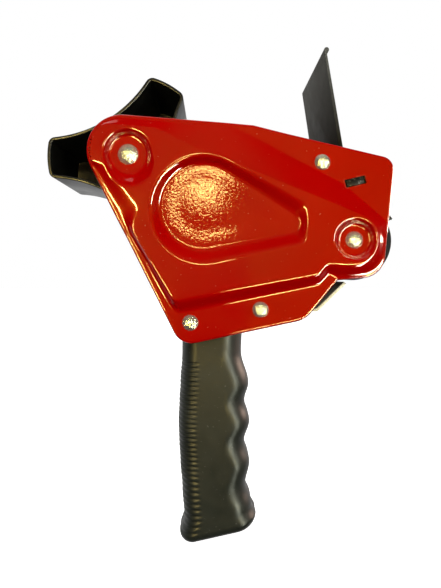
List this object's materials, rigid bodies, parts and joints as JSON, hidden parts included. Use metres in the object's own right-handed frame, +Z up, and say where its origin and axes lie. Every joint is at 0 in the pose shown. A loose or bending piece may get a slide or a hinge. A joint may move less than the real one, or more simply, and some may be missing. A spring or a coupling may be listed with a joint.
{
  "type": "tape dispenser",
  "caption": "Hand-held packing-tape dispenser: pressed red side plate, three-armed tape hub, rubber roller, toothed cutter, wiper flap and a black pistol grip.",
  "frame": {"origin": "on the tape hub's axis, in the middle plane of the tape", "axes": "+X towards the roller end of the head, +Y across the tape from the pressed plate to the loading side, +Z up with the grip hanging down"},
  "size_m": [0.1612, 0.0654, 0.2415],
  "materials": {
    "red_enamel": "gloss",
    "zinc_steel": "satin",
    "bright_zinc": "polished",
    "yellow_zinc": "satin",
    "blackened_steel": "satin",
    "blade_steel": "ground",
    "black_hub_plastic": "semi-gloss",
    "black_grip_plastic": "satin",
    "flap_plastic": "satin",
    "core_plastic": "matt",
    "black_rubber": "matt",
    "acetal": "satin",
    "brake_fibre": "matt",
    "brass": "turned",
    "spring_steel": "oiled"
  },
  "bodies": {
    "frame": {"side_plate": "red_enamel", "far_plate": "red_enamel", "plate_screws": "bright_zinc", "plate_washers": "zinc_steel", "plate_nuts": "zinc_steel", "head_spacer": "zinc_steel", "hub_axle": "bright_zinc", "hub_washer": "acetal", "brake_washer": "brake_fibre", "pressure_washer": "zinc_steel", "disc_springs": "spring_steel", "roller_axle": "bright_zinc", "axle_nut": "zinc_steel", "blade_holder": "blackened_steel", "cutter_blade": "blade_steel", "blade_rivets": "zinc_steel", "wiper_pin": "zinc_steel", "wiper_spring": "spring_steel", "tape_guide": "yellow_zinc", "guide_screws": "zinc_steel", "grip_near": "black_grip_plastic", "grip_far": "black_grip_plastic", "grip_tie_screw": "zinc_steel"},
    "hub": {"tape_hub": "black_hub_plastic", "hub_bushing": "brass"},
    "knob": {"tension_knob": "black_grip_plastic", "knob_insert": "brass"},
    "roller": {"roller_core": "core_plastic", "roller_sleeve": "black_rubber", "roller_bushings": "acetal"},
    "wiper": {"wiper_flap": "flap_plastic"}
  },
  "joints": [
    {"name": "hub_spin", "type": "hinge", "parent": "frame", "child": "hub", "pos_m": [0, 0, 0], "axis": [0, 1, 0], "continuous": true},
    {"name": "knob_turn", "type": "hinge", "parent": "frame", "child": "knob", "pos_m": [0, 0.029, 0], "axis": [0, 1, 0], "range_deg": [-180, 180]},
    {"name": "roller_spin", "type": "hinge", "parent": "frame", "child": "roller", "pos_m": [0.1037, 0, -0.0393], "axis": [0, 1, 0], "continuous": true},
    {"name": "wiper_tilt", "type": "hinge", "parent": "frame", "child": "wiper", "pos_m": [0.1002, 0, -0.007], "axis": [0, 1, 0], "range_deg": [-30, 0], "stiffness_Nm_per_rad": 0.05, "deforming": ["wiper_spring"]}
  ]
}
